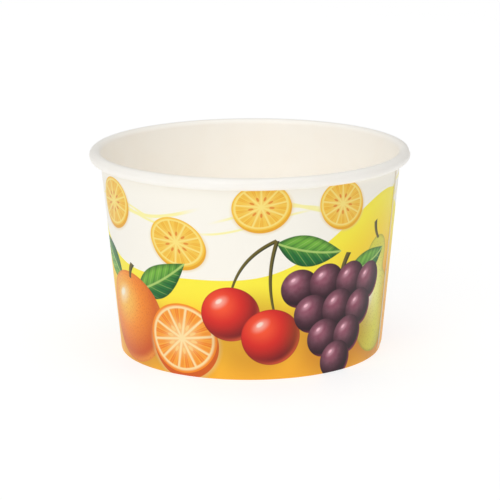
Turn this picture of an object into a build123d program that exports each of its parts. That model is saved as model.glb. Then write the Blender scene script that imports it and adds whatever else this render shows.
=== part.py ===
from build123d import *
from math import acos, asin, atan2, cos, degrees, radians, sin, tan
import os

# Paper dessert cup, made of two blanks of coated board: a side wall that is wrapped into a cone,
# lapped at one seam, rolled outwards at the rim and hemmed inwards at the foot, and a base disc
# whose skirt is sealed into that hem.
# Millimetres, +Z up, origin on the table under the middle of the cup. The front faces -Y.

# Overall form
rim_diameter = 95.0  # outside of the rolled rim
cup_height = 60.5  # table to the top of the rim
base_diameter = 77.7  # printed face of the wall, carried down to the table
rim_bead = 3.5  # outside diameter of the rolled rim's section

# Board
wall_board = 0.36  # thickness of the side wall's board
base_board = 0.32  # thickness of the base disc's board
seal_film = 0.02  # melted coating between bonded layers

# Rolled rim
tuck_step = 0.6  # how much tighter the roll is where it tucks its cut edge inside
tuck_turn = 110.0  # degrees of that tighter stretch
tuck_gap = 0.08  # tighter stretch to the printed face of the wall

# Foot
floor_height = 7.0  # table to the food side of the base disc
hem_clearance = 1.0  # top of the turned-up hem to the underside of the disc
fold_radius = 0.09  # inside corners of the foot's fold
base_bend_radius = 0.4  # underside of the bend between disc and skirt
skirt_clearance = 0.3  # inside of the fold to the skirt's cut edge

# Side seam
seam_angle = -15.0  # degrees from +X to the cut edge of the outer lap
lap_width = 7.0  # overlap of the two edges of the wall's blank
lap_ease = 9.0  # stretch past the overlap over which the outer layer comes down
lap_foot = 1.2  # table to the lower end of the raised lap
lap_press = 0.06  # thickness that sealing presses out of the lap
lap_end = 0.02  # step that is left where the outer layer has come down

# The wall's section, as points of (radius, height). Its printed face leaves the foot and runs
# tangent to the inside of the rolled rim.
foot = Vector(base_diameter / 2, 0)
bead_radius = rim_bead / 2
bead_centre = Vector(rim_diameter / 2 - bead_radius, cup_height - bead_radius)
curl_radius = bead_radius - wall_board
to_bead = bead_centre - foot
wall_length = (to_bead.length**2 - curl_radius**2) ** 0.5
taper = atan2(to_bead.X, to_bead.Y) - asin(curl_radius / to_bead.length)
wall_up = Vector(sin(taper), cos(taper))
wall_out = Vector(cos(taper), -sin(taper))

# The roll tightens as late as it can and still pass the wall with tuck_gap to spare.
tuck_radius = curl_radius - tuck_step
curl_turn = degrees(-acos(1 - (wall_board + tuck_gap) / tuck_step)) % 360

# Layers of the foot, counted inwards from the printed face: wall, skirt, turned-up hem
skirt_depth = wall_board + seal_film
hem_depth = skirt_depth + base_board + seal_film + wall_board
skirt_foot = wall_board + skirt_clearance
hem_top = floor_height - base_board - hem_clearance

# The seam's widths as angles, measured at the foot. Its outer layer turns about an axis of its own,
# shifted so that the layer stands out by lap_rise at its cut edge, towards +X here, and by lap_end
# where it has come down.
lap_rise = wall_board - lap_press
lap_angle = degrees(lap_width / foot.X)
ease_angle = degrees(lap_ease / foot.X)
lap_turn = lap_angle + ease_angle
lap_shift = lap_end / sin(radians(lap_turn)) - lap_rise / tan(radians(lap_turn))
lap_axis = Axis((lap_rise, lap_shift, 0), (0, 0, 1))


def on_wall(depth, up):
    """Point at a depth behind the wall's printed face and a slant distance up from the foot."""
    return foot - wall_out * depth + wall_up * up


def at_height(depth, height):
    """Point at a depth behind the wall's printed face and a height above the table."""
    return on_wall(depth, (height - depth * sin(taper)) / cos(taper))


def wall_face(depth):
    """Trace the side wall's sheet, from the top of the turned-up hem, round the fold of the foot,
    up the wall and into the roll of the rim, at a depth behind its printed face.
    """
    hem_and_wall = FilletPolyline(
        at_height(hem_depth - depth, hem_top),
        at_height(hem_depth - depth, depth),
        at_height(depth, depth),
        on_wall(depth, wall_length),
        radius=fold_radius + wall_board - depth,
    )
    curl = JernArc(hem_and_wall @ 1, hem_and_wall % 1, curl_radius + depth, -curl_turn)
    tuck = JernArc(curl @ 1, curl % 1, tuck_radius + depth, -tuck_turn)
    return hem_and_wall @ 0, tuck @ 1


def base_face(depth):
    """Trace the base's sheet, from the middle of the disc to the foot of its skirt, at a depth
    under its food side.
    """
    disc_and_skirt = FilletPolyline(
        (0, floor_height - depth),
        at_height(skirt_depth + depth, floor_height - depth),
        at_height(skirt_depth + depth, skirt_foot),
        radius=base_bend_radius + base_board - depth,
    )
    return disc_and_skirt @ 0, disc_and_skirt @ 1


def lap_strip(near_depth, far_depth, bottom, start, turn):
    """Strip along the seam, between two depths of its outer layer, over a turn of the lap's axis."""
    outwards = Vector(1, 0, 0).rotate(Axis.Z, start)
    with BuildPart() as strip:
        with BuildSketch(Plane(lap_axis.position, outwards, outwards.rotate(Axis.Z, -90))):
            with BuildLine():
                Polyline(
                    at_height(near_depth, bottom),
                    at_height(near_depth, bead_centre.Y),
                    at_height(far_depth, bead_centre.Y),
                    at_height(far_depth, bottom),
                    close=True,
                )
            make_face()
        revolve(axis=lap_axis, revolution_arc=turn)
    return strip.part


# Outer layer of the lap, from its cut edge to where it has come down
outer_layer = lap_strip(wall_board, 0, lap_foot, 0, lap_turn)

# Hollow that the outer layer leaves on the food side, past the cut edge of the inner layer
hollow = lap_strip(wall_board * 2, wall_board, floor_height, lap_angle, ease_angle)

# Side wall: one sheet, turned round the cup's axis and stepped along its seam
with BuildPart() as side_wall:
    with BuildSketch(Plane.XZ):
        with BuildLine():
            for printed_end, inside_end in zip(wall_face(0), wall_face(wall_board)):
                Line(printed_end, inside_end)
        make_face()
    revolve(axis=Axis.Z)
    add(outer_layer, rotation=(0, 0, seam_angle))
    add(hollow, rotation=(0, 0, seam_angle), mode=Mode.SUBTRACT)

# Base disc: flat floor with its edge bent down into a skirt that follows the wall
with BuildPart() as base_disc:
    with BuildSketch(Plane.XZ):
        with BuildLine():
            for food_end, under_end in zip(base_face(0), base_face(base_board)):
                Line(food_end, under_end)
        make_face()
    revolve(axis=Axis.Z)

side_wall.part.label = "side_wall"
base_disc.part.label = "base_disc"

os.makedirs("parts", exist_ok=True)
export_step(side_wall.part, "parts/side_wall.step")
export_step(base_disc.part, "parts/base_disc.step")
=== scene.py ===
"""Paper dessert cup: two coated blanks, printed, lapped, rolled and hemmed, on a pale studio floor."""

import logging
import math
from collections.abc import Iterator
from contextlib import contextmanager
from dataclasses import dataclass, field
from enum import Enum, IntEnum, StrEnum

import bpy
from mathutils import Euler, Matrix, Vector


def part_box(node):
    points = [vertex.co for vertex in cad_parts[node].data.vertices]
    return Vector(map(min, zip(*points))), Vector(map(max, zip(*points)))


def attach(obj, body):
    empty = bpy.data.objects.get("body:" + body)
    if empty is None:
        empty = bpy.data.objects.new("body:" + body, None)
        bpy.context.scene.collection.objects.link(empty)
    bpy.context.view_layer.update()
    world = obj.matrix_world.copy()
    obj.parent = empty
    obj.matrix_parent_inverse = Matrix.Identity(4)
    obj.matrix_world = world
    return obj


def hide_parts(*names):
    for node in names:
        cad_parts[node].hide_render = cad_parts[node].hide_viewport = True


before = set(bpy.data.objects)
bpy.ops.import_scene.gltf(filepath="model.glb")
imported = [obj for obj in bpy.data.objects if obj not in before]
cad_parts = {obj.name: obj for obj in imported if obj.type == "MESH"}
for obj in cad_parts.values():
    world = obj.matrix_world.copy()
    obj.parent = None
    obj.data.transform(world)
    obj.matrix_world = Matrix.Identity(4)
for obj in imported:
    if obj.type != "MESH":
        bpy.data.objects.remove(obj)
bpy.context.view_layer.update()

MM = 0.001
BODY = "root"

log = logging.getLogger("cup")

Colour = tuple[float, float, float, float]
Point = tuple[float, float]

WHITE: Colour = (1.0, 1.0, 1.0, 1.0)


class Maps(StrEnum):
    """Names of the UV maps."""

    BLANK = "blank"
    BAKE = "OFBake"


class Face(IntEnum):
    """Sides of a sheet of board, in the order of a piece's material slots."""

    OUTER = 0
    INNER = 1
    CUT = 2


def ink(red: int, green: int, blue: int) -> Colour:
    """Turn a colour of 0 to 255 per channel, as seen on screen, into a scene-linear one.

    Args:
        red: Red as seen.
        green: Green as seen.
        blue: Blue as seen.

    Returns:
        The linear colour, opaque.
    """

    def linear(channel: int) -> float:
        """Undo the screen's curve for one channel."""
        part = channel / 255
        return part / 12.92 if part <= 0.04045 else ((part + 0.055) / 1.055) ** 2.4

    return linear(red), linear(green), linear(blue), 1.0


# Shader graphs


class Value:
    """A socket that carries one number. Operators on it add Math nodes to its graph."""

    def __init__(self, graph: "Graph", socket: bpy.types.NodeSocket) -> None:
        """Wrap a socket of a graph."""
        self.graph = graph
        self.socket = socket

    def __add__(self, other: "Value | float") -> "Value":
        """Return self + other."""
        return self.graph.math("ADD", self, other)

    def __sub__(self, other: "Value | float") -> "Value":
        """Return self - other."""
        return self.graph.math("SUBTRACT", self, other)

    def __rsub__(self, other: float) -> "Value":
        """Return other - self."""
        return self.graph.math("SUBTRACT", other, self)

    def __mul__(self, other: "Value | float") -> "Value":
        """Return self * other."""
        return self.graph.math("MULTIPLY", self, other)

    def __truediv__(self, other: "Value | float") -> "Value":
        """Return self / other."""
        return self.graph.math("DIVIDE", self, other)

    __radd__ = __add__
    __rmul__ = __mul__

    def __abs__(self) -> "Value":
        """Return the value without its sign."""
        return self.graph.math("ABSOLUTE", self)

    def cosine(self) -> "Value":
        """Return the cosine of the value in radians."""
        return self.graph.math("COSINE", self)

    def fraction(self) -> "Value":
        """Return what is left above the next lower whole number."""
        return self.graph.math("FRACT", self)

    def root(self) -> "Value":
        """Return the square root."""
        return self.graph.math("SQRT", self)

    def scaled(self, factor: "Value | float", more: "Value | float") -> "Value":
        """Return self * factor + more, in one node."""
        return self.graph.math("MULTIPLY_ADD", self, factor, more)

    def ramp(self, low: float, high: float, top: float = 1.0) -> "Value":
        """Rise smoothly from nothing to a top value.

        Args:
            low: Where the rise starts; it may lie above high.
            high: Where the rise ends.
            top: Value that is reached.

        Returns:
            The smooth step, level outside of low to high.
        """
        made = self.graph.node(
            "ShaderNodeMapRange",
            {"interpolation_type": "SMOOTHSTEP"},
            {"Value": self, "From Min": low, "From Max": high, "To Max": top},
        )
        return Value(self.graph, made.outputs["Result"])


class Graph:
    """Node tree of one material."""

    def __init__(self, tree: bpy.types.NodeTree) -> None:
        """Start on an emptied tree."""
        self.tree = tree
        tree.nodes.clear()

    def node(self, kind: str, settings: dict[str, object] | None = None,
             sockets: dict[str | int, object] | None = None) -> bpy.types.Node:
        """Add a node, make its settings and then fill or link its sockets.

        Args:
            kind: Blender's name of the node type.
            settings: Attributes of the node.
            sockets: Inputs by name or number; a socket or a Value is linked, anything else is set.

        Returns:
            The node.
        """
        made = self.tree.nodes.new(kind)
        for name, value in (settings or {}).items():
            setattr(made, name, value)
        for name, value in (sockets or {}).items():
            source = value.socket if isinstance(value, Value) else value
            if isinstance(source, bpy.types.NodeSocket):
                self.tree.links.new(source, made.inputs[name])
            else:
                made.inputs[name].default_value = source
        return made

    def math(self, operation: str, *terms: Value | float) -> Value:
        """Add a Math node on numbers and values."""
        made = self.node("ShaderNodeMath", {"operation": operation}, dict(enumerate(terms)))
        return Value(self, made.outputs[0])

    def mix(self, factor: Value | float, under: object, over: object) -> bpy.types.NodeSocket:
        """Lay one colour over another.

        Args:
            factor: Share of the upper colour.
            under: Lower colour, or a socket of it.
            over: Upper colour, or a socket of it.

        Returns:
            Socket of the mixed colour.
        """
        made = self.node("ShaderNodeMix", {"data_type": "RGBA"}, {0: factor, 6: under, 7: over})
        return made.outputs[2]

    def split(self, vector: bpy.types.NodeSocket) -> tuple[Value, Value, Value]:
        """Split a vector into its three values."""
        made = self.node("ShaderNodeSeparateXYZ", sockets={0: vector})
        return tuple(Value(self, made.outputs[axis]) for axis in range(3))

    def noise(self, place: bpy.types.NodeSocket | Value, scale: float, detail: float = 2.0) -> Value:
        """Add soft noise.

        Args:
            place: Where to look it up: a vector in space or a value along a line.
            scale: Features per unit.
            detail: Octaves of finer noise.

        Returns:
            The noise, about 0 to 1.
        """
        line = isinstance(place, Value)
        made = self.node(
            "ShaderNodeTexNoise",
            {"noise_dimensions": "1D" if line else "3D"},
            {"W" if line else "Vector": place, "Scale": scale, "Detail": detail},
        )
        return Value(self, made.outputs["Fac"])

    def solid(self) -> bpy.types.NodeSocket:
        """Return the object's own coordinates, in metres."""
        return self.node("ShaderNodeTexCoord").outputs["Object"]

    def blank(self) -> bpy.types.NodeSocket:
        """Return the place on the flat blank, in millimetres."""
        return self.node("ShaderNodeUVMap", {"uv_map": Maps.BLANK}).outputs[0]

    def bump(self, height: Value, rise: float) -> bpy.types.NodeSocket:
        """Return the normal of a surface whose height of 0 to 1 stands for a rise in millimetres."""
        made = self.node("ShaderNodeBump", None, {"Strength": 1.0, "Distance": rise * MM, "Height": height})
        return made.outputs[0]

    def surface(self, **sockets: object) -> None:
        """Close the graph with a shader.

        Args:
            sockets: Inputs of the shader, with underscores for the spaces of their names.
        """
        named = {name.replace("_", " "): value for name, value in sockets.items()}
        shader = self.node("ShaderNodeBsdfPrincipled", None, named)
        self.node("ShaderNodeOutputMaterial", None, {"Surface": shader.outputs[0]})


# Print


@dataclass(frozen=True)
class Stencil:
    """Own coordinates of one motif, from -1 to 1 across its box on the blank.

    Attributes:
        x: Place along the motif.
        y: Place across it.
    """

    x: Value
    y: Value

    @property
    def reach(self) -> Value:
        """Distance from the motif's middle, 1 at its edge."""
        return self.y.scaled(self.y, self.x * self.x).root()


@dataclass
class Artwork:
    """A print in the making: inks laid one over another on the flat blank.

    Attributes:
        graph: Graph of the material that is printed.
        blank: Place on the blank as a vector, in millimetres.
        x: Place along one repeat of the print, in millimetres.
        y: Height on the wall, in millimetres.
        colour: Colour printed so far; bare board to begin with.
        bleed: Softness of an inked edge, in millimetres.
    """

    graph: Graph
    blank: bpy.types.NodeSocket
    x: Value
    y: Value
    colour: Colour | bpy.types.NodeSocket
    bleed: float = 0.22

    def place(self, at: Point, half: Point, turn: float = 0.0) -> Stencil:
        """Lay a stencil on the blank.

        Args:
            at: Middle of the motif, in millimetres.
            half: Half of its width and of its height, in millimetres.
            turn: Degrees that it is turned by, counter-clockwise.

        Returns:
            The stencil.
        """
        if not turn:
            pairs = zip((self.x, self.y), at, half)
            return Stencil(*(value.scaled(1 / size, -middle / size) for value, middle, size in pairs))
        cos, sin = math.cos(math.radians(turn)), math.sin(math.radians(turn))
        return Stencil(*(
            self.x.scaled(right / size, self.y.scaled(up / size, -(at[0] * right + at[1] * up) / size))
            for (right, up), size in zip(((cos, sin), (-sin, cos)), half)
        ))

    def ink(self, mask: Value, colour: Colour | bpy.types.NodeSocket) -> None:
        """Print a colour through a mask."""
        self.colour = self.graph.mix(mask, self.colour, colour)


@dataclass(frozen=True)
class FruitInks:
    """Colours of a fruit, from its lit side to its shaded one.

    Attributes:
        lit: Side that faces the light.
        body: Main colour.
        deep: Shaded side.
        glow: Light thrown back onto the shaded edge.
        glint: Highlight.
    """

    lit: Colour
    body: Colour
    deep: Colour
    glow: Colour
    glint: Colour


CHERRY = FruitInks(
    lit=ink(250, 84, 44),
    body=ink(220, 34, 20),
    deep=ink(110, 8, 10),
    glow=ink(238, 90, 50),
    glint=ink(255, 226, 210),
)
GRAPE = FruitInks(
    lit=ink(132, 46, 76),
    body=ink(70, 16, 40),
    deep=ink(20, 3, 14),
    glow=ink(158, 50, 86),
    glint=ink(252, 196, 210),
)
MANDARIN = FruitInks(
    lit=ink(255, 196, 76),
    body=ink(250, 144, 26),
    deep=ink(204, 78, 8),
    glow=ink(254, 172, 66),
    glint=ink(255, 246, 222),
)
PEAR = FruitInks(
    lit=ink(250, 248, 150),
    body=ink(222, 216, 66),
    deep=ink(150, 132, 20),
    glow=ink(226, 206, 90),
    glint=ink(255, 255, 238),
)


@dataclass(frozen=True)
class Shade:
    """A soft shadow that a motif throws on the print behind it.

    Attributes:
        at: Middle, in millimetres on the blank.
        half: Half of its width and of its height, in millimetres.
        strength: Share of its colour in the middle.
    """

    at: Point
    half: Point
    strength: float = 0.5

    colour = ink(172, 92, 14)

    def paint(self, art: Artwork) -> None:
        """Print the shadow."""
        art.ink(art.place(self.at, self.half).reach.ramp(1.0, 0.45, self.strength), self.colour)


@dataclass(frozen=True)
class Fruit:
    """A fruit of the print, airbrushed.

    Attributes:
        at: Middle of its belly, in millimetres on the blank.
        radius: Half of the belly's width, in millimetres.
        inks: Its colours.
        squash: Height of the belly over its width.
    """

    at: Point
    radius: float
    inks: FruitInks
    squash: float = 1.0

    def oval(self, art: Artwork, middle: Point, half: Point, turn: float = 0.0) -> Value:
        """Lay an oval over the fruit.

        Args:
            art: Print that the fruit belongs to.
            middle: Way from the fruit's middle to the oval's, in radii.
            half: Half of the oval's width and of its height, in radii.
            turn: Degrees that it is turned by.

        Returns:
            Distance from the oval's middle, 1 at its edge.
        """
        wide, high = self.radius, self.radius * self.squash
        at = (self.at[0] + middle[0] * wide, self.at[1] + middle[1] * high)
        return art.place(at, (half[0] * wide, half[1] * high), turn).reach


@dataclass(frozen=True)
class Orb(Fruit):
    """A round fruit.

    Attributes:
        pores: Strength of the dimples of a citrus skin.
        bloom: Strength of the pale dust on its lit side.
    """

    pores: float = 0.0
    bloom: float = 0.0

    gleam_turn = 35.0

    def paint(self, art: Artwork) -> None:
        """Print the fruit: body, shade, light thrown back, skin and highlights.

        Args:
            art: Print to add it to.
        """
        graph = art.graph
        reach = self.oval(art, (0.0, 0.0), (1.0, 1.0))
        lit = self.oval(art, (-0.32, 0.36), (1.0, 1.0))
        colour = graph.mix(lit.ramp(0.1, 0.75), self.inks.lit, self.inks.body)
        colour = graph.mix(lit.ramp(0.55, 1.4), colour, self.inks.deep)
        colour = graph.mix(reach.ramp(0.76, 0.97) * lit.ramp(1.05, 1.5, 0.75), colour, self.inks.glow)
        if self.pores:
            dimples = graph.noise(art.blank, scale=1.7, detail=1.0).ramp(0.48, 0.7, self.pores)
            colour = graph.mix(dimples, colour, self.inks.deep)
        if self.bloom:
            dust = graph.noise(art.blank, scale=0.45, detail=3.0) * lit.ramp(1.1, 0.2, self.bloom)
            colour = graph.mix(dust, colour, self.inks.glint)
        colour = graph.mix(reach.ramp(0.93, 1.0, 0.4), colour, self.inks.deep)
        art.ink(reach.ramp(1.0, 1.0 - art.bleed / self.radius), colour)
        sheen = self.oval(art, (-0.34, 0.42), (0.42, 0.26), self.gleam_turn)
        art.ink(sheen.ramp(1.0, 0.1, 0.45), self.inks.glint)
        spark = self.oval(art, (-0.37, 0.46), (0.17, 0.1), self.gleam_turn)
        art.ink(spark.ramp(1.0, 0.4, 0.9), self.inks.glint)


@dataclass(frozen=True)
class Pear(Fruit):
    """A pear, with a blush and freckles.

    Attributes:
        neck: Way from the belly's middle to the neck's, in millimetres.
    """

    neck: Point = (0.0, 0.0)

    neck_size = 0.5  # neck's radius, in radii of the belly
    neck_blend = 0.7  # softness of the waist between them, in radii
    blush = ink(244, 140, 40)

    def paint(self, art: Artwork) -> None:
        """Print the pear: body, blush, shade, freckles and highlight.

        Args:
            art: Print to add it to.
        """
        graph, inks, whole = art.graph, self.inks, (1.0, 1.0)
        neck = (self.at[0] + self.neck[0], self.at[1] + self.neck[1])
        skin = graph.math(
            "SMOOTH_MIN",
            art.place(self.at, whole).reach - self.radius,
            art.place(neck, whole).reach - self.radius * self.neck_size,
            self.radius * self.neck_blend,
        )
        lit = self.oval(art, (-0.35, 0.6), (1.0, 1.5))
        colour = graph.mix(lit.ramp(0.1, 0.8), inks.lit, inks.body)
        side = self.oval(art, (0.8, 0.3), (0.8, 1.5))
        colour = graph.mix(side.ramp(1.0, 0.0, 0.6), colour, self.blush)
        colour = graph.mix(lit.ramp(0.8, 1.6, 0.85), colour, inks.deep)
        freckles = graph.noise(art.blank, scale=1.9, detail=0.0).ramp(0.66, 0.74, 0.4)
        colour = graph.mix(freckles, colour, inks.deep)
        colour = graph.mix(skin.ramp(-1.1, 0.0, 0.5), colour, inks.deep)
        art.ink(skin.ramp(0.0, -art.bleed), colour)
        gleam = self.oval(art, (-0.42, 0.5), (0.24, 0.5), turn=-14.0)
        art.ink(gleam.ramp(1.0, 0.1, 0.8), inks.glint)


@dataclass(frozen=True)
class Stroke:
    """A stroke along a shallow arc, such as a stem, thicker towards its end.

    Attributes:
        start: First end, in millimetres on the blank.
        end: Other end.
        sag: Height of the arc over its chord, in millimetres.
        width: Width of the stroke, in millimetres.
    """

    start: Point
    end: Point
    sag: float
    width: float

    swell = 0.3  # how much thicker it gets from its middle to its end, in half widths
    cap = 0.985  # where it fades out, in half lengths
    bark = ink(104, 92, 30)
    edge = ink(48, 52, 16)

    def paint(self, art: Artwork) -> None:
        """Print the stroke, darker along one edge.

        Args:
            art: Print to add it to.
        """
        along = (self.end[0] - self.start[0], self.end[1] - self.start[1])
        half, wide = math.hypot(*along) / 2, self.width / 2
        middle = ((self.start[0] + self.end[0]) / 2, (self.start[1] + self.end[1]) / 2)
        spot = art.place(middle, (half, 1.0), math.degrees(math.atan2(along[1], along[0])))
        x, off = spot.x, spot.y - self.sag * (1 - spot.x * spot.x)
        line = (abs(off) - x * (wide * self.swell)).ramp(wide + art.bleed / 2, wide - art.bleed / 2)
        colour = art.graph.mix(off.ramp(wide * 0.1, -wide * 0.8), self.bark, self.edge)
        art.ink(line * abs(x).ramp(1.0, self.cap), colour)


@dataclass(frozen=True)
class Leaf:
    """A leaf with a midrib and side veins.

    Attributes:
        at: Middle, in millimetres on the blank.
        length: Stalk to tip, in millimetres.
        turn: Degrees from the right to its tip.
        breadth: Half of its width over half of its length.
    """

    at: Point
    length: float
    turn: float
    breadth: float = 0.44

    bow = 0.1  # rise of the midrib, in half lengths
    lean = 0.28  # how much broader it is towards its stalk
    veins = 3.2  # side veins per half length
    slant = 3.6  # how far they run ahead on their way out, in the same spacing
    light = ink(118, 184, 58)
    dark = ink(22, 112, 44)
    shade = ink(6, 66, 30)
    vein = ink(186, 218, 116)

    def paint(self, art: Artwork) -> None:
        """Print the leaf: two-toned blade, shaded rim, midrib and veins.

        Args:
            art: Print to add it to.
        """
        graph, half = art.graph, self.length / 2
        blade = art.place(self.at, (half, half), self.turn)
        x, room = blade.x, 1 - blade.x * blade.x
        out = blade.y + self.bow * room
        inside = room * (1 - self.lean * x) * self.breadth - abs(out)
        outline = inside.ramp(0.0, art.bleed / half) * abs(x).ramp(1.0, 0.98)
        colour = graph.mix((out * 3).ramp(-0.7, 0.9), self.dark, self.light)
        veins = abs((x * self.veins - abs(out) * self.slant).fraction() - 0.5)
        colour = graph.mix(veins.ramp(0.3, 0.5, 0.4), colour, self.shade)
        colour = graph.mix(veins.ramp(0.09, 0.01, 0.35), colour, self.vein)
        colour = graph.mix(inside.ramp(0.18, 0.0, 0.6), colour, self.shade)
        colour = graph.mix(abs(out).ramp(0.045, 0.012, 0.8), colour, self.vein)
        art.ink(outline, colour)


@dataclass(frozen=True)
class SliceInks:
    """Colours of a slice of citrus.

    Attributes:
        peel: Skin of the cut side.
        rind: Edge of the face.
        pith: Layer under the rind and between the wedges.
        pulp: Pale pulp.
        juice: Deep pulp.
        pip: Pips and core.
    """

    peel: Colour
    rind: Colour
    pith: Colour
    pulp: Colour
    juice: Colour
    pip: Colour


OCHRE = SliceInks(
    peel=ink(236, 170, 36),
    rind=ink(248, 196, 58),
    pith=ink(253, 228, 128),
    pulp=ink(250, 208, 82),
    juice=ink(242, 178, 48),
    pip=ink(226, 120, 24),
)
ORANGE = SliceInks(
    peel=ink(214, 92, 10),
    rind=ink(248, 140, 24),
    pith=ink(255, 226, 164),
    pulp=ink(254, 176, 60),
    juice=ink(242, 122, 20),
    pip=ink(255, 214, 136),
)


@dataclass(frozen=True)
class CitrusWheel:
    """A slice of citrus, seen a little from the side.

    Attributes:
        at: Middle, in millimetres on the blank.
        radius: Half of its width, in millimetres.
        squash: Height over width.
        turn: Degrees that it is turned by.
        inks: Its colours.
        depth: Thickness of the slice, in radii.
        wedges: Number of its wedges.
    """

    at: Point
    radius: float
    squash: float
    turn: float
    inks: SliceInks = OCHRE
    depth: float = 0.1
    wedges: int = 9

    halo = 1.14  # reach of the soft shadow, in radii
    pip_width = 0.05  # half width of a pip, in radii
    pip_stretch = 9.0  # one over half of its length
    pip_start = 3.2  # its way from the core, in half lengths
    shadow = ink(232, 206, 140)

    def paint(self, art: Artwork) -> None:
        """Print the slice: soft shadow, cut side, rind, pith, wedges and pips.

        Args:
            art: Print to add it to.
        """
        graph, radius, inks = art.graph, self.radius, self.inks
        size, edge = (radius, radius * self.squash), art.bleed / radius
        low = (self.at[0] + 0.04 * radius, self.at[1] - self.depth * radius)
        halo = art.place(low, (size[0] * self.halo, size[1] * self.halo), self.turn)
        art.ink(halo.reach.ramp(1.0, 0.82, 0.6), self.shadow)
        art.ink(art.place(low, size, self.turn).reach.ramp(1.0, 1.0 - edge), inks.peel)
        face = art.place(self.at, size, self.turn)
        reach = face.reach
        art.ink(reach.ramp(1.0, 1.0 - edge), graph.mix(reach.ramp(0.96, 0.88), inks.rind, inks.pith))
        wedge = math.tau / self.wedges
        spoke = (graph.math("ARCTAN2", face.y, face.x) * (1 / wedge)).fraction() - 0.5
        skin = (0.5 - abs(spoke)) * reach * wedge
        streaks = graph.noise(spoke * 9.0 + reach, scale=1.0, detail=2.0)
        colour = graph.mix(streaks.ramp(0.32, 0.7), inks.pulp, inks.juice)
        colour = graph.mix(reach.ramp(0.7, 0.15, 0.5), colour, inks.pith)
        across = spoke * reach * (wedge / self.pip_width)
        along = reach * self.pip_stretch - self.pip_start
        colour = graph.mix((across * across + along * along).ramp(1.0, 0.4, 0.8), colour, inks.pip)
        art.ink(skin.ramp(0.012, 0.055) * reach.ramp(0.87, 0.83) * reach.ramp(0.07, 0.12), colour)


Motif = Shade | Orb | Pear | Stroke | Leaf | CitrusWheel


@dataclass(frozen=True)
class Wave:
    """A swell along the print.

    Attributes:
        height: Its height over its middle line, in millimetres.
        count: Number of waves in one repeat of the print.
        lag: How late it comes, in radians.
    """

    height: float
    count: int
    lag: float

    def along(self, turn: Value) -> Value:
        """Return its height along the print, which is given in radians of the repeat."""
        return self.height * (turn * self.count - self.lag).cosine()


@dataclass(frozen=True)
class Ribbon:
    """A thin curved line under the rim, which comes and goes.

    Attributes:
        middle: Height of its middle line, in millimetres.
        lag: How late its waves come, in radians.
        width: Half of its width, in millimetres.
    """

    middle: float
    lag: float
    width: float

    swing = 3.4  # height of its waves, in millimetres
    tint = ink(254, 246, 168)

    def paint(self, art: Artwork, turn: Value) -> None:
        """Print the ribbon.

        Args:
            art: Print to add it to.
            turn: Way along the print, in radians of its repeat.
        """
        line = abs(art.y - self.middle - Wave(self.swing, 2, self.lag).along(turn))
        shown = (turn * 3 + self.lag).cosine().ramp(-0.9, 0.1)
        art.ink(line.ramp(self.width + art.bleed, self.width - art.bleed) * shown, self.tint)


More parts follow.
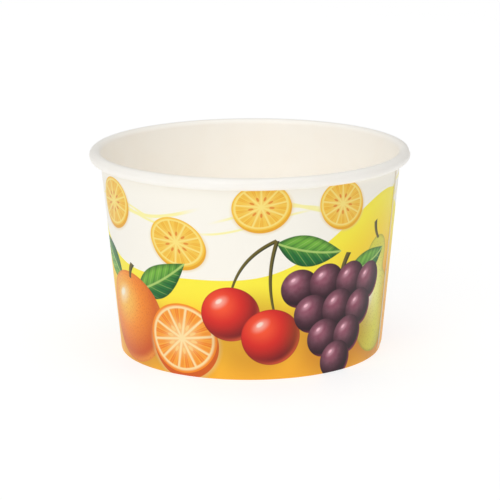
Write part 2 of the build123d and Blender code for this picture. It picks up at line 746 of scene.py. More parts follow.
@dataclass(frozen=True)
class PrintDesign:
    """The whole print: a warm white field over a swelling band of yellow, with fruit set along it.

    Attributes:
        repeat: Width after which the print starts again, in millimetres.
        top: Height of the printed field, in millimetres.
        bottom: Height of its other edge, just round the fold of the foot, in millimetres.
    """

    repeat: float
    top: float
    bottom: float = -1.3

    paper = ink(252, 249, 242)
    ground = ink(253, 249, 238)
    lemon = ink(255, 240, 62)
    yellow = ink(255, 224, 48)
    amber = ink(252, 178, 40)
    ribbons = (Ribbon(50.5, 0.6, 0.5), Ribbon(48.5, 1.5, 0.36), Ribbon(47.0, 2.3, 0.3))
    crest = 38.0  # height of the band's middle line, in millimetres
    swells = (Wave(11.0, 1, 5.6), Wave(3.0, 2, 5.0))
    second_crest = 9.0  # depth of its darker part, in millimetres
    second_swell = Wave(4.0, 1, -0.9)

    def paint(self, art: Artwork) -> None:
        """Print the fields, the ribbons and the fruit, from back to front.

        Args:
            art: Print to add them to.
        """
        turn = art.x * (math.tau / self.repeat)
        art.ink(art.y.ramp(self.top, self.top - art.bleed), self.ground)
        for ribbon in self.ribbons:
            ribbon.paint(art, turn)
        self.band(art, turn)
        for motif in self.motifs():
            motif.paint(art)
        art.ink(art.y.ramp(self.bottom, self.bottom - art.bleed), self.paper)

    def band(self, art: Artwork, turn: Value) -> None:
        """Print the yellow band, brightest along its edge.

        Args:
            art: Print to add it to.
            turn: Way along the print, in radians of its repeat.
        """
        graph = art.graph
        depth = self.crest - art.y
        for swell in self.swells:
            depth = depth + swell.along(turn)
        colour = graph.mix(depth.ramp(1.0, 13.0), self.lemon, self.yellow)
        colour = graph.mix(depth.ramp(9.0, 34.0), colour, self.amber)
        art.ink(depth.ramp(0.0, art.bleed), colour)
        second = depth - self.second_crest - self.second_swell.along(turn)
        art.ink(second.ramp(0.0, 6.0, 0.35), self.amber)

    def motifs(self) -> list[Motif]:
        """Lay out the motifs, with their sizes in millimetres on the blank.

        Returns:
            The motifs, from back to front.
        """
        wheels = [
            CitrusWheel((25.0, 48.5), 8.4, 0.86, 20.0),
            CitrusWheel((51.0, 40.5), 9.0, 0.8, -18.0),
            CitrusWheel((75.5, 52.0), 8.2, 0.84, 12.0),
            CitrusWheel((99.5, 51.0), 7.8, 0.88, -30.0),
        ]
        pear = [
            Shade((121.0, 12.0), (16.0, 18.0)),
            Pear((120.0, 14.5), 12.2, PEAR, neck=(-2.6, 18.0)),
            Stroke((117.2, 37.6), (114.6, 43.4), 0.7, 1.3),
        ]
        mandarins = [
            Shade((31.0, 12.0), (19.0, 17.0)),
            Leaf((17.5, 30.0), 20.0, 148.0),
            Leaf((44.0, 29.0), 22.0, 30.0),
            Orb((30.0, 14.5), 14.6, MANDARIN, 0.95, pores=0.32),
            Stroke((30.6, 26.4), (32.6, 31.0), 0.5, 1.5),
            Shade((51.0, 9.0), (14.5, 14.0)),
            CitrusWheel((51.0, 11.5), 11.6, 0.92, 8.0, ORANGE, depth=0.16, wedges=10),
        ]
        cherries = [
            Shade((73.0, 14.0), (17.0, 16.0), 0.4),
            Leaf((90.0, 39.0), 21.0, -12.0),
            Stroke((67.0, 27.0), (80.0, 42.0), 2.4, 1.0),
            Stroke((79.5, 20.0), (80.0, 42.0), 1.6, 1.0),
            Orb((66.5, 20.0), 8.8, CHERRY, 0.94),
            Orb((78.5, 13.0), 9.0, CHERRY, 0.95),
        ]
        bunch_at = (100.0, 18.5)
        bunch = (
            (-13.0, 8.6), (-4.4, 9.4), (4.6, 8.8), (13.0, 7.2),
            (-8.9, 0.6), (0.2, 1.2), (9.0, -0.2), (-4.4, -7.2), (4.8, -7.6), (0.4, -14.6),
        )
        berries = [(bunch_at[0] + right, bunch_at[1] + up) for right, up in bunch]
        grapes = [
            Shade((101.0, 14.0), (21.0, 20.0)),
            Stroke((100.0, 24.0), (103.0, 36.0), 0.9, 1.4),
            Leaf((112.0, 32.0), 19.0, 14.0),
            *(Orb(berry, 5.9, GRAPE, bloom=0.22) for berry in berries),
        ]
        return [*wheels, *pear, *mandarins, *cherries, *grapes]


# Finishes


@dataclass(frozen=True)
class Finish:
    """A look of the board.

    Attributes:
        name: Name of its material.
    """

    name: str

    def material(self) -> bpy.types.Material:
        """Make the material of the finish.

        Returns:
            The material.
        """
        made = bpy.data.materials.new(self.name)
        made.use_nodes = True
        self.shade(Graph(made.node_tree))
        return made

    def shade(self, graph: Graph) -> None:
        """Build the shader of the finish in an empty graph."""
        raise NotImplementedError


@dataclass(frozen=True)
class PrintedBoard(Finish):
    """Glazed board that carries the print.

    Attributes:
        design: What is printed on it.
    """

    design: PrintDesign

    relief = 0.08  # height of the board's cockle and of the hem's knurl, in millimetres
    knurl_pitch = 1.7  # spacing of the knurl's grooves, in millimetres
    knurl_top = -1.2  # where the knurl starts, round the fold of the foot, in millimetres
    knurl_full = -1.7  # where it is at full depth

    def shade(self, graph: Graph) -> None:
        """Print the design on fibrous board under a thin glaze.

        Args:
            graph: Graph to build it in.
        """
        blank = graph.blank()
        along, y, _ = graph.split(blank)
        x = (along / self.design.repeat).fraction() * self.design.repeat
        art = Artwork(graph, blank, x, y, self.design.paper)
        self.design.paint(art)
        solid = graph.solid()
        fibre = graph.noise(solid, scale=1400.0, detail=3.0)
        cockle = graph.noise(solid, scale=90.0, detail=1.0)
        groove = abs((along / self.knurl_pitch).fraction() - 0.5).ramp(0.1, 0.4)
        knurl = groove * y.ramp(self.knurl_top, self.knurl_full)
        graph.surface(
            Base_Color=art.colour,
            Roughness=0.36 + 0.14 * fibre,
            Specular_IOR_Level=0.3,
            Coat_Weight=0.08,
            Coat_Roughness=0.2,
            Normal=graph.bump(cockle * 0.9 + fibre * 0.1 + knurl, self.relief),
        )


@dataclass(frozen=True)
class CoatedBoard(Finish):
    """White board under a food-safe coating.

    Attributes:
        tone: Colour of the board.
        shade_tone: Colour of its denser fibres.
    """

    tone: Colour
    shade_tone: Colour

    relief = 0.006  # height of its fibres, in millimetres

    def shade(self, graph: Graph) -> None:
        """Mottle the board a little and roughen its coating.

        Args:
            graph: Graph to build it in.
        """
        solid = graph.solid()
        cloud = graph.noise(solid, scale=120.0, detail=3.0)
        fibre = graph.noise(solid, scale=1500.0, detail=3.0)
        graph.surface(
            Base_Color=graph.mix(cloud.ramp(0.35, 0.75), self.tone, self.shade_tone),
            Roughness=0.34 + 0.16 * fibre,
            Coat_Weight=0.15,
            Coat_Roughness=0.3,
            Normal=graph.bump(fibre, self.relief),
        )


@dataclass(frozen=True)
class RawBoard(Finish):
    """Bare board, uncoated or cut through.

    Attributes:
        tone: Colour of the board.
        fleck: Colour of its flecks.
    """

    tone: Colour
    fleck: Colour

    relief = 0.03  # height of its fibres, in millimetres

    def shade(self, graph: Graph) -> None:
        """Scatter flecks and fibres over a dull surface.

        Args:
            graph: Graph to build it in.
        """
        solid = graph.solid()
        fibre = graph.noise(solid, scale=1800.0, detail=4.0)
        fleck = graph.noise(solid, scale=700.0, detail=2.0).ramp(0.62, 0.74, 0.5)
        graph.surface(
            Base_Color=graph.mix(fleck, self.tone, self.fleck),
            Roughness=0.78 + 0.15 * fibre,
            Normal=graph.bump(fibre, self.relief),
        )


@dataclass(frozen=True)
class StudioFloor(Finish):
    """Pale opal floor of a light table.

    Attributes:
        tone: Colour of the sheet, unlit.
        wear: Colour of its duller patches.
        glow: Colour of the light that it is lit with from below.
    """

    tone: Colour
    wear: Colour
    glow: Colour = WHITE

    relief = 0.02  # height of its grain, in millimetres

    def shade(self, graph: Graph) -> None:
        """Vary the sheet very slightly and light it from below.

        Args:
            graph: Graph to build it in.
        """
        solid = graph.solid()
        patch = graph.noise(solid, scale=8.0, detail=3.0)
        grain = graph.noise(solid, scale=400.0, detail=2.0)
        graph.surface(
            Base_Color=graph.mix(patch, self.tone, self.wear),
            Emission_Color=self.glow,
            Emission_Strength=0.75,
            Roughness=0.6 + 0.1 * patch,
            Normal=graph.bump(grain, self.relief),
        )


# Form


@dataclass
class SheetPath:
    """Section of a folded sheet, drawn as straight runs and bends.

    Attributes:
        radius: Distance of the pen from the cup's axis, in millimetres.
        height: Height of the pen over the table.
        heading: Direction of travel in degrees, 0 outwards and 90 up.
        points: Corners drawn so far, as radius and height.
        lengths: Length of sheet up to each of them.
    """

    radius: float
    height: float
    heading: float
    points: list[Point] = field(default_factory=list)
    lengths: list[float] = field(default_factory=list)

    def __post_init__(self) -> None:
        """Put the pen down."""
        self.points.append((self.radius, self.height))
        self.lengths.append(0.0)

    def step(self, length: float) -> None:
        """Draw one straight piece.

        Args:
            length: Its length, in millimetres.
        """
        self.radius += length * math.cos(math.radians(self.heading))
        self.height += length * math.sin(math.radians(self.heading))
        self.points.append((self.radius, self.height))
        self.lengths.append(self.lengths[-1] + length)

    def run(self, length: float, steps: int = 1) -> None:
        """Draw a straight run.

        Args:
            length: Its length, in millimetres.
            steps: Number of pieces.
        """
        for _ in range(steps):
            self.step(length / steps)

    def bend(self, radius: float, turn: float, steps: int) -> None:
        """Draw a bend.

        Args:
            radius: Its radius, in millimetres.
            turn: Degrees of its turn, positive to the left.
            steps: Number of pieces.
        """
        half = turn / steps / 2
        for _ in range(steps):
            self.heading += half
            self.step(2 * radius * math.sin(math.radians(abs(half))))
            self.heading += half

    def nearest(self, place: Point) -> int:
        """Return the number of the corner that is nearest to a point."""
        return min(range(len(self.points)), key=lambda row: math.dist(place, self.points[row]))


@dataclass(frozen=True)
class CupForm:
    """Sizes of the cup's section, in millimetres and degrees.

    Attributes:
        rim_radius: Outside of the rolled rim.
        height: Table to the top of the rim.
        floor_height: Table to the food side of the base.
        foot_radius: Printed face of the wall, carried down to the table.
        bead_radius: Outside of the rolled rim's section.
        wall_board: Thickness of the wall's board.
        base_board: Thickness of the base's board.
        film: Melted coating between bonded layers.
        tuck_step: How much tighter the roll is where it tucks its cut edge inside.
        tuck_turn: Turn of that tighter stretch.
        tuck_gap: Tighter stretch to the printed face of the wall.
        hem_clearance: Top of the turned-up hem to the underside of the base.
        fold_radius: Outside corners of the foot's fold.
        base_bend: Food side of the bend between base and skirt.
        skirt_clearance: Inside of the fold to the skirt's cut edge.
        seam_angle: From +X to the cut edge of the outer lap.
        lap_width: Overlap of the two edges of the wall's blank.
        lap_ease: Stretch past the overlap over which the outer layer comes down.
    """

    rim_radius: float
    height: float
    floor_height: float
    foot_radius: float = 38.85
    bead_radius: float = 1.75
    wall_board: float = 0.36
    base_board: float = 0.32
    film: float = 0.02
    tuck_step: float = 0.6
    tuck_turn: float = 110.0
    tuck_gap: float = 0.08
    hem_clearance: float = 1.0
    fold_radius: float = 0.45
    base_bend: float = 0.72
    skirt_clearance: float = 0.3
    seam_angle: float = -15.0
    lap_width: float = 7.0
    lap_ease: float = 9.0

    @classmethod
    def from_frame(cls) -> "CupForm":
        """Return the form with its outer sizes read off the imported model."""
        wall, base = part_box("side_wall")[1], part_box("base_disc")[1]
        return cls(rim_radius=wall.x / MM, height=wall.z / MM, floor_height=base.z / MM)

    @property
    def curl_radius(self) -> float:
        """Printed side of the roll."""
        return self.bead_radius - self.wall_board

    @property
    def to_bead(self) -> Point:
        """Way from the foot to the middle of the roll."""
        return self.rim_radius - self.bead_radius - self.foot_radius, self.height - self.bead_radius

    @property
    def wall_length(self) -> float:
        """Slant length of the wall, from the table to the roll."""
        return math.sqrt(math.hypot(*self.to_bead) ** 2 - self.curl_radius**2)

    @property
    def taper(self) -> float:
        """Lean of the wall."""
        out, up = self.to_bead
        return math.degrees(math.atan2(out, up) - math.asin(self.curl_radius / math.hypot(out, up)))

    @property
    def hem_depth(self) -> float:
        """Printed face of the wall to that of the turned-up hem."""
        return 2 * self.wall_board + self.base_board + 2 * self.film

    @property
    def curl_turn(self) -> float:
        """Turn of the roll before it tightens."""
        return 360 - math.degrees(math.acos(1 - (self.wall_board + self.tuck_gap) / self.tuck_step))

    @property
    def lap_angle(self) -> float:
        """Turn of the overlap."""
        return math.degrees(self.lap_width / self.foot_radius)

    @property
    def ease_angle(self) -> float:
        """Turn over which the outer layer comes down."""
        return math.degrees(self.lap_ease / self.foot_radius)

    @property
    def print_radius(self) -> float:
        """Radius at which lengths along the print are true."""
        return self.foot_radius + math.sin(math.radians(self.taper)) * self.wall_length / 2

    def behind(self, depth: float, height: float) -> Point:
        """Find a point of the section.

        Args:
            depth: Depth behind the printed face of the wall.
            height: Height over the table.

        Returns:
            The point's radius and height.
        """
        lean = math.radians(self.taper)
        return self.foot_radius - depth / math.cos(lean) + height * math.tan(lean), height


def eased(value: float, low: float, high: float) -> float:
    """Rise smoothly from 0 at low to 1 at high.

    Args:
        value: Where to look.
        low: Start of the rise; it may lie above high.
        high: End of the rise.

    Returns:
        The height there, 0 to 1.
    """
    share = min(max((value - low) / (high - low), 0.0), 1.0)
    return share * share * (3 - 2 * share)


# Places in the atlas of the bake


class AtlasAxes(Enum):
    """Which two numbers of a corner a patch shows: way round 0, way along the section 1, shell 2."""

    SHEET = (0, 1)
    EDGE_ROUND = (0, 2)
    EDGE_UP = (1, 2)


class Strip(Enum):
    """Strips of the side wall's atlas, each from its lower to its upper edge."""

    LAP_CUT = (0.001, 0.004)
    UNDER_CUT = (0.005, 0.008)
    HEM_CUT = (0.009, 0.011)
    ROLL_CUT = (0.012, 0.014)
    HEM = (0.016, 0.026)
    ROLL = (0.029, 0.041)
    FOOD_SIDE = (0.045, 0.135)
    LATER_HALF = (0.145, 0.565)
    FIRST_HALF = (0.575, 0.995)


@dataclass(frozen=True)
class AtlasPatch:
    """A strip of the atlas, over its whole width.

    Attributes:
        strip: Where it lies.
        along: Range that its width shows.
        up: Range that its height shows.
        axes: Which way it is read.
        margin: Space kept free at its ends.
    """

    strip: Strip
    along: tuple[float, float]
    up: tuple[float, float]
    axes: AtlasAxes = AtlasAxes.SHEET
    margin: float = 0.004

    def at(self, corner: tuple[float, float, float]) -> Point:
        """Find a corner in the atlas.

        Args:
            corner: Its way round the cup from 0 to 1, its way along the section in millimetres, and
                its shell, which is 0 on the printed side and 1 on the food side.

        Returns:
            Its place in the atlas.
        """
        ranges = zip(self.axes.value, (self.along, self.up))
        across, up = ((corner[axis] - low) / (high - low) for axis, (low, high) in ranges)
        bottom, top = self.strip.value
        return self.margin + across * (1 - 2 * self.margin), bottom + up * (top - bottom)


@dataclass(frozen=True)
class AtlasDisc:
    """A round blank laid flat in the atlas.

    Attributes:
        middle: Its middle in the atlas.
        scale: Size of a millimetre there.
        hand: 1 for the upper side and -1 for the underside, which is seen mirrored.
    """

    middle: Point
    scale: float
    hand: int

    def at(self, length: float, angle: float) -> Point:
        """Find a corner in the atlas.

        Args:
            length: Its way out from the middle along the sheet, in millimetres.
            angle: Its way round, in radians.

        Returns:
            Its place in the atlas.
        """
        reach = length * self.scale
        right, up = reach * math.cos(angle), self.hand * reach * math.sin(angle)
        return self.middle[0] + right, self.middle[1] + up


# Pieces


@dataclass
class BoardPiece:
    """A piece of folded board: a section that is spun about the cup's axis and thickened.

    Attributes:
        form: Sizes of the cup.
        columns: Steps round the cup.
        path: Section of the side that is drawn.
        piece: The object.
    """

    form: CupForm
    columns: int
    path: SheetPath = field(init=False)
    piece: bpy.types.Object = field(init=False)

    smooth_angle = 50.0  # degrees; sharper edges stay sharp

    def pick(self) -> None:
        """Select the piece alone and make it the active object."""
        bpy.ops.object.select_all(action="DESELECT")
        self.piece.select_set(True)
        bpy.context.view_layer.objects.active = self.piece

    @contextmanager
    def editing(self) -> Iterator[None]:
        """Open the piece in edit mode with everything selected.

        Yields:
            Nothing; the piece is closed again afterwards.
        """
        self.pick()
        bpy.ops.object.mode_set(mode="EDIT")
        bpy.ops.mesh.select_mode(type="VERT")
        bpy.ops.mesh.select_all(action="SELECT")
        yield
        bpy.ops.object.mode_set(mode="OBJECT")

    def spin(self, name: str, start: float, turn: float) -> None:
        """Draw the section edge by edge and spin it about the cup's axis into an open surface.

        Args:
            name: Name of the new object.
            start: Degrees from +X to the section's first place.
            turn: Degrees to spin it by, counter-clockwise.
        """
        right, back = math.cos(math.radians(start)), math.sin(math.radians(start))
        corners = [(out * right * MM, out * back * MM, up * MM) for out, up in self.path.points]
        bpy.ops.object.select_all(action="DESELECT")
        bpy.ops.mesh.primitive_plane_add(size=MM, location=corners[0])
        bpy.ops.object.transform_apply(location=True, rotation=True, scale=True)
        self.piece = bpy.context.object
        self.piece.name = self.piece.data.name = name
        with self.editing():
            bpy.ops.mesh.merge(type="CENTER")
            for here, there in zip(corners, corners[1:]):
                way = tuple(b - a for a, b in zip(here, there))
                bpy.ops.mesh.extrude_region_move(TRANSFORM_OT_translate={"value": way})
            bpy.ops.mesh.select_all(action="SELECT")
            angle = -math.radians(turn)
            bpy.ops.mesh.spin(steps=self.columns, angle=angle, center=(0, 0, 0), axis=(0, 0, 1))

    def turn_faces(self, sample: bpy.types.MeshPolygon, outwards: Vector) -> None:
        """Turn all the faces round if one of them looks the wrong way.

        Args:
            sample: One of the faces.
            outwards: Direction in which it has to look.
        """
        if sample.normal.dot(outwards) < 0:
            with self.editing():
                bpy.ops.mesh.flip_normals()

    def modify(self, kind: str, **settings: object) -> None:
        """Put a modifier on the piece and apply it.

        Args:
            kind: Blender's name of the modifier type.
            settings: Its settings.
        """
        bpy.context.view_layer.objects.active = self.piece
        made = self.piece.modifiers.new(kind.lower(), kind)
        for name, value in settings.items():
            setattr(made, name, value)
        bpy.ops.object.modifier_apply(modifier=made.name)

    def thicken(self, board: float) -> None:
        """Thicken the sheet away from the side that is drawn, with a material slot for each side.

        Args:
            board: Thickness of the board, in millimetres.
        """
        for _ in Face:
            self.piece.data.materials.append(None)
        self.modify(
            "SOLIDIFY",
            thickness=board * MM,
            offset=-1.0,
            use_even_offset=True,
            material_offset=int(Face.INNER),
            material_offset_rim=int(Face.CUT),
        )

    def smooth(self) -> None:
        """Shade the piece smooth, apart from its sharp edges."""
        self.pick()
        bpy.ops.object.shade_smooth_by_angle(angle=math.radians(self.smooth_angle))

    def step_of(self, vertex: bpy.types.MeshVertex) -> int:
        """Return the corner of the section that a vertex of the spun sheet comes from."""
        return self.path.nearest((vertex.co.xy.length / MM, vertex.co.z / MM))

    def dress(self, outer: Finish, inner: Finish, cut: Finish) -> None:
        """Give each side of the board its finish.

        Args:
            outer: Finish of the side that is drawn.
            inner: Finish of the other side.
            cut: Finish of the cut edges.
        """
        for face, finish in zip(Face, (outer, inner, cut)):
            self.piece.material_slots[face].material = finish.material()


@dataclass
class SideWall(BoardPiece):
    """The wrapped blank: hem, fold, wall and rolled rim, lapped along one seam.

    Attributes:
        columns: Steps round the cup.
        lap_lift: Height of the outer layer over the inner one's printed face, in millimetres.
        lap_start: Way up from the foot to where the outer layer starts to lift, in millimetres.
        lap_full: Way up from the foot to where it is lifted in full.
        under_dip: How far the inner layer gives way inside the fold, in millimetres.
        under_start: Degrees round the cup after which the inner layer gives way.
        foot_mark: Length of sheet up to the foot.
        roll_mark: Length of sheet up to the roll.
        rows: Step along the section of each vertex of one column.
    """

    columns: int = 288
    lap_lift: float = 0.37
    lap_start: float = 0.5
    lap_full: float = 2.4
    under_dip: float = 0.03
    under_start: float = 359.0
    foot_mark: float = field(init=False)
    roll_mark: float = field(init=False)
    rows: list[int] = field(init=False)

    tolerance = 1e-6  # slack in comparing lengths of sheet, in millimetres

    def __post_init__(self) -> None:
        """Draw the printed side of the section, from the hem's cut edge to the roll's."""
        form, lean = self.form, self.form.taper
        slant = math.cos(math.radians(lean))
        tight, wide = (form.fold_radius * math.tan(math.radians(45 + side * lean / 2)) for side in (-1, 1))
        start = form.behind(form.hem_depth, form.floor_height - form.base_board - form.hem_clearance)
        self.path = path = SheetPath(*start, heading=270 - lean)
        path.run(start[1] / slant - wide, steps=3)
        path.bend(form.fold_radius, 90 + lean, steps=6)
        path.run(form.hem_depth / slant - wide - tight)
        path.bend(form.fold_radius, 90 - lean, steps=6)
        self.foot_mark = path.lengths[-1] - tight
        path.run(self.lap_full, steps=4)
        path.run(form.wall_length - tight - self.lap_full, steps=12)
        self.roll_mark = path.lengths[-1]
        path.bend(form.curl_radius, -form.curl_turn, steps=28)
        path.bend(form.curl_radius - form.tuck_step, -form.tuck_turn, steps=9)

    @property
    def turn(self) -> float:
        """Degrees that the sheet goes round, lap and all."""
        return 360 + self.form.lap_angle

    @property
    def width(self) -> float:
        """Length of the print round the cup, lap and all, in millimetres."""
        return math.radians(self.turn) * self.form.print_radius

    def build(self) -> None:
        """Spin the sheet once round and a lap further, lay its edges over each other and thicken it."""
        self.spin("printed_wall", self.form.seam_angle, self.turn)
        with self.editing():
            bpy.ops.mesh.normals_make_consistent(inside=False)
        mesh = self.piece.data
        self.rows = [self.step_of(vertex) for vertex in mesh.vertices[:len(self.path.points)]]
        half_way = self.form.height * MM / 2
        middle = min(mesh.polygons, key=lambda face: abs(face.center.z - half_way))
        self.turn_faces(middle, Vector((middle.center.x, middle.center.y, 0.0)))
        self.lap()
        self.thicken(self.form.wall_board)
        self.unwrap()
        self.smooth()
        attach(self.piece, BODY)
        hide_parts("side_wall")

    def column(self, vertex: int) -> int:
        """Return the step round the cup of a vertex of either side."""
        return vertex // len(self.rows) % (self.columns + 1)

    def row(self, vertex: int) -> int:
        """Return the step along the section of a vertex of either side."""
        return self.rows[vertex % len(self.rows)]

    def lap(self) -> None:
        """Lift the outer layer of the seam over the inner one and ease it down past the overlap."""
        form, piece = self.form, self.piece
        outer = piece.vertex_groups.new(name="outer_lap")
        under = piece.vertex_groups.new(name="under_lap")
        for vertex in range(len(piece.data.vertices)):
            angle = self.column(vertex) * self.turn / self.columns
            climb = self.path.lengths[self.row(vertex)] - self.foot_mark
            up = eased(climb, self.lap_start, self.lap_full)
            lifted = up * eased(angle, form.lap_angle + form.ease_angle, form.lap_angle)
            if lifted:
                outer.add([vertex], lifted, "REPLACE")
            if angle > self.under_start:
                under.add([vertex], 1 - up, "REPLACE")
        for group, way in ((outer, self.lap_lift), (under, -self.under_dip)):
            self.modify(
                "DISPLACE",
                strength=way * MM,
                mid_level=0.0,
                direction="NORMAL",
                vertex_group=group.name,
            )
        piece.vertex_groups.clear()

    def unwrap(self) -> None:
        """Lay out the blank in millimetres, and apart from it an atlas without overlaps."""
        mesh = self.piece.data
        blank = mesh.uv_layers.new(name=Maps.BLANK).uv
        atlas = mesh.uv_layers.new(name=Maps.BAKE).uv
        printed = len(self.rows) * (self.columns + 1)
        for polygon in mesh.polygons:
            spots = [mesh.loops[loop].vertex_index for loop in polygon.loop_indices]
            places = [(self.column(spot), self.row(spot)) for spot in spots]
            box = self.patch(polygon.material_index, places)
            for loop, spot, (column, row) in zip(polygon.loop_indices, spots, places):
                along = column / self.columns
                up = self.path.lengths[row]
                blank[loop].vector = (along * self.width, up - self.foot_mark)
                atlas[loop].vector = box.at((along, up, float(spot >= printed)))

    def patch(self, face: int, places: list[tuple[int, int]]) -> AtlasPatch:
        """Choose the part of the atlas that a polygon belongs to.

        Args:
            face: Side of the board that it is on.
            places: Column and row of its corners.

        Returns:
            The patch.
        """
        columns, rows = ({place[axis] for place in places} for axis in (0, 1))
        end, foot, roll = self.path.lengths[-1], self.foot_mark, self.roll_mark
        whole = (0.0, 1.0)
        if face == Face.INNER:
            return AtlasPatch(Strip.FOOD_SIDE, whole, (0.0, end))
        if face == Face.CUT and len(columns) == 1:
            strip = Strip.LAP_CUT if min(columns) == 0 else Strip.UNDER_CUT
            return AtlasPatch(strip, (0.0, end), whole, AtlasAxes.EDGE_UP)
        if face == Face.CUT:
            strip = Strip.HEM_CUT if min(rows) == 0 else Strip.ROLL_CUT
            return AtlasPatch(strip, whole, whole, AtlasAxes.EDGE_ROUND)
        lengths = [self.path.lengths[row] for row in rows]
        if min(lengths) >= roll - self.tolerance:
            return AtlasPatch(Strip.ROLL, whole, (roll, end))
        if max(lengths) <= foot + self.tolerance:
            return AtlasPatch(Strip.HEM, whole, (0.0, foot))
        if max(columns) <= self.columns // 2:
            return AtlasPatch(Strip.FIRST_HALF, (0.0, 0.5), (foot, roll))
        return AtlasPatch(Strip.LATER_HALF, (0.5, 1.0), (foot, roll))


@dataclass
class BaseDisc(BoardPiece):
    """The floor of the cup, with its edge bent down into a skirt inside the hem.

    Attributes:
        columns: Steps round the cup.
        merge_distance: Distance under which vertices are merged, in millimetres.
        edge_gap: Space round the cut edge in the atlas, in millimetres.
        disc_radius: Radius in the atlas of either side.
        top_at: Middle in the atlas of the food side.
        under_at: Middle in the atlas of the underside.
    """

    columns: int = 192
    merge_distance: float = 0.002
    edge_gap: float = 0.8
    disc_radius: float = 0.29
    top_at: Point = (0.295, 0.295)
    under_at: Point = (0.705, 0.705)

    def __post_init__(self) -> None:
        """Draw the food side of the section, from the middle of the floor to the skirt's cut edge."""
        form, lean = self.form, self.form.taper
        depth = form.wall_board + form.film
        corner = form.behind(depth, form.floor_height)
        foot = form.behind(depth, form.wall_board + form.skirt_clearance)
        cut = form.base_bend * math.tan(math.radians(45 + lean / 2))
        self.path = path = SheetPath(0.0, form.floor_height, heading=0.0)
        path.run(corner[0] - cut, steps=24)
        path.bend(form.base_bend, -90 - lean, steps=10)
        path.run(math.dist(corner, foot) - cut, steps=3)

    def build(self) -> None:
        """Spin the section into a closed form, thicken it and shade it."""
        self.spin("base_board", 0.0, 360.0)
        with self.editing():
            bpy.ops.mesh.remove_doubles(threshold=self.merge_distance * MM)
            bpy.ops.mesh.normals_make_consistent(inside=False)
        middle = min(self.piece.data.polygons, key=lambda face: face.center.xy.length)
        self.turn_faces(middle, Vector((0.0, 0.0, 1.0)))
        self.thicken(self.form.base_board)
        self.unwrap()
        self.smooth()
        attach(self.piece, BODY)
        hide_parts("base_disc")

    def unwrap(self) -> None:
        """Lay both sides of the blank flat in an atlas, with the cut edge round the underside."""
        mesh, board = self.piece.data, self.form.base_board
        atlas = mesh.uv_layers.new(name=Maps.BAKE).uv
        half = len(mesh.vertices) // 2
        lengths = [self.path.lengths[self.step_of(vertex)] for vertex in mesh.vertices[:half]]
        scale = self.disc_radius / (self.path.lengths[-1] + board + 2 * self.edge_gap)
        top, under = AtlasDisc(self.top_at, scale, 1), AtlasDisc(self.under_at, scale, -1)
        for polygon in mesh.polygons:
            disc = top if polygon.material_index == Face.OUTER else under
            for loop in polygon.loop_indices:
                spot = mesh.loops[loop].vertex_index
                length = lengths[spot % half]
                if polygon.material_index == Face.CUT:
                    length += self.edge_gap + board * (spot < half)
                place = mesh.vertices[spot].co
                atlas[loop].vector = disc.at(length, math.atan2(place.y, place.x))


# Studio


class LampKind(StrEnum):
    """Kinds of lamp, by Blender's names for them."""

    BOX = "AREA"
    BULB = "POINT"


@dataclass(frozen=True, kw_only=True)
class Lamp:
    """A light of the studio.

    Attributes:
        name: Its name.
        power: Watts.
        width: Width of the square box or of the round bulb, in metres.
        kind: What it is.
        colour: Red, green and blue of its light.
        azimuth: Degrees round from the front, positive to the right.
        elevation: Degrees over the table.
        distance: From the point on the cup's axis that it looks at, in metres.
        aim_height: Height of that point, in millimetres.
    """

    name: str
    power: float
    width: float
    kind: LampKind = LampKind.BOX
    colour: tuple[float, float, float] = (1.0, 1.0, 1.0)
    azimuth: float = 0.0
    elevation: float = 90.0
    distance: float = 0.0
    aim_height: float = 0.0

    def build(self) -> None:
        """Hang the lamp and turn it to its point."""
        turn = Euler((math.radians(90 - self.elevation), 0.0, math.radians(self.azimuth))).to_matrix()
        place = turn.col[2] * self.distance
        place.z += self.aim_height * MM
        bpy.ops.object.light_add(type=self.kind, location=place, rotation=turn.to_euler())
        made = bpy.context.object
        made.name = self.name
        made.data.energy = self.power
        made.data.color = self.colour
        if self.kind == LampKind.BOX:
            made.data.shape = "SQUARE"
            made.data.size = self.width
        else:
            made.data.shadow_soft_size = self.width / 2


@dataclass(frozen=True)
class PhotoCamera:
    """The camera of the picture, as fitted to the cup's outline.

    Attributes:
        distance: From the aimed point, in millimetres.
        aim_height: Height of that point over the table, in millimetres.
        elevation: Degrees that the camera looks down by.
        roll: Degrees that the picture leans by, counter-clockwise.
        focal_pixels: Focal length, in pixels of the picture.
        axis_pixel: Column of the picture in which the cup's axis stands.
        picture: Width of the picture, in pixels.
        film: Width of the film, in millimetres.
        near: Distance from which the camera sees, in millimetres.
    """

    distance: float = 734.4
    aim_height: float = 29.0
    elevation: float = 13.6
    roll: float = 0.3
    focal_pixels: float = 2456.0
    axis_pixel: float = 250.28
    picture: float = 500.0
    film: float = 36.0
    near: float = 10.0

    def build(self) -> None:
        """Set up the camera and make it the scene's own."""
        look = Euler((math.radians(90 - self.elevation), 0.0, 0.0)).to_matrix()
        place = look.col[2] * self.distance * MM
        place.z += self.aim_height * MM
        turn = look @ Matrix.Rotation(-math.radians(self.roll), 3, "Z")
        bpy.ops.object.camera_add(location=place, rotation=turn.to_euler())
        made = bpy.context.object
        made.name = "photo_camera"
        made.data.sensor_fit = "HORIZONTAL"
        made.data.sensor_width = self.film
        made.data.lens = self.focal_pixels * self.film / self.picture
        made.data.shift_x = 0.5 - self.axis_pixel / self.picture
        made.data.clip_start = self.near * MM
        made.data.dof.use_dof = False
        bpy.context.scene.camera = made


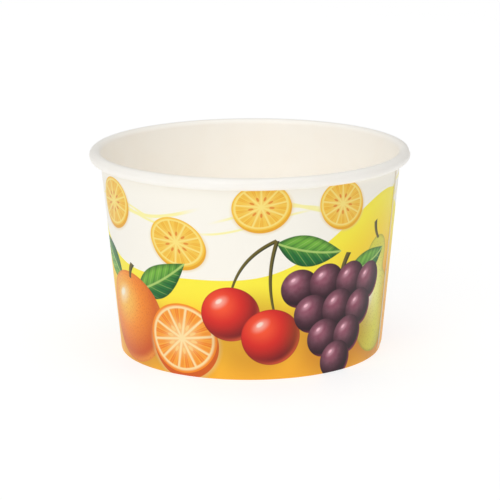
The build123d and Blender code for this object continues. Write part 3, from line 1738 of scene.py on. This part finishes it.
@dataclass
class Studio:
    """Pale floor, soft light from all round and the camera.

    The bulb in the cup stands for the light that shines through thin printed board.

    Attributes:
        floor_size: Width of the floor, in metres.
        sky: Strength of the light from all round.
        lamps: The lights.
        camera: The camera.
        floor: The floor's object.
    """

    floor_size: float = 8.0
    sky: float = 0.44
    lamps: tuple[Lamp, ...] = (
        Lamp(name="key_box", power=45.0, width=2.7, azimuth=-22.0, elevation=34.0, distance=4.0),
        Lamp(name="top_box", power=64.0, width=4.2, elevation=85.0, distance=4.5),
        Lamp(
            name="cup_glow",
            power=0.007,
            width=0.028,
            kind=LampKind.BULB,
            colour=(1.0, 0.875, 0.75),
            aim_height=58.0,
        ),
    )
    camera: PhotoCamera = PhotoCamera()
    floor: bpy.types.Object = field(init=False)

    def build(self) -> None:
        """Lay the floor, hang the lights and set up the camera."""
        bpy.ops.object.select_all(action="DESELECT")
        bpy.ops.mesh.primitive_plane_add(size=self.floor_size, location=(0.0, 0.0, 0.0))
        self.floor = bpy.context.object
        self.floor.name = "studio_floor"
        for lamp in self.lamps:
            lamp.build()
        self.light_sky()
        bpy.context.scene.view_settings.view_transform = "Standard"
        self.camera.build()

    def light_sky(self) -> None:
        """Light the scene evenly from all round."""
        world = bpy.data.worlds.new("studio_sky")
        bpy.context.scene.world = world
        world.use_nodes = True
        graph = Graph(world.node_tree)
        sky = graph.node("ShaderNodeBackground", None, {"Color": WHITE, "Strength": self.sky})
        graph.node("ShaderNodeOutputWorld", None, {"Surface": sky.outputs[0]})

    def dress(self, sheet: Finish) -> None:
        """Give the floor its finish."""
        self.floor.data.materials.append(sheet.material())


# Main and second colours of the boards and of the floor
FOOD_SIDE = (ink(254, 251, 244), ink(253, 249, 241))
CUT_EDGE = (ink(240, 233, 218), ink(214, 200, 172))
UNDERSIDE = (ink(244, 240, 230), ink(222, 212, 192))
OPAL = (ink(149, 149, 149), ink(146, 146, 146))


def main() -> None:
    """Build the cup piece by piece, dress it and set it in the studio."""
    logging.basicConfig(level=logging.INFO, format="%(name)s: %(message)s")
    form = CupForm.from_frame()

    wall = SideWall(form)
    wall.build()
    design = PrintDesign(repeat=wall.width / 2, top=form.wall_length)
    wall.dress(
        PrintedBoard("printed_board", design),
        CoatedBoard("food_side_board", *FOOD_SIDE),
        RawBoard("cut_board", *CUT_EDGE),
    )
    log.info("side wall: %d faces", len(wall.piece.data.polygons))

    base = BaseDisc(form)
    base.build()
    base.dress(
        CoatedBoard("floor_board", *FOOD_SIDE),
        RawBoard("under_board", *UNDERSIDE),
        RawBoard("skirt_edge", *CUT_EDGE),
    )
    log.info("base disc: %d faces", len(base.piece.data.polygons))

    studio = Studio()
    studio.build()
    studio.dress(StudioFloor("studio_opal", *OPAL))
    log.info("studio: floor, lights and camera")


if __name__ == "__main__":
    main()
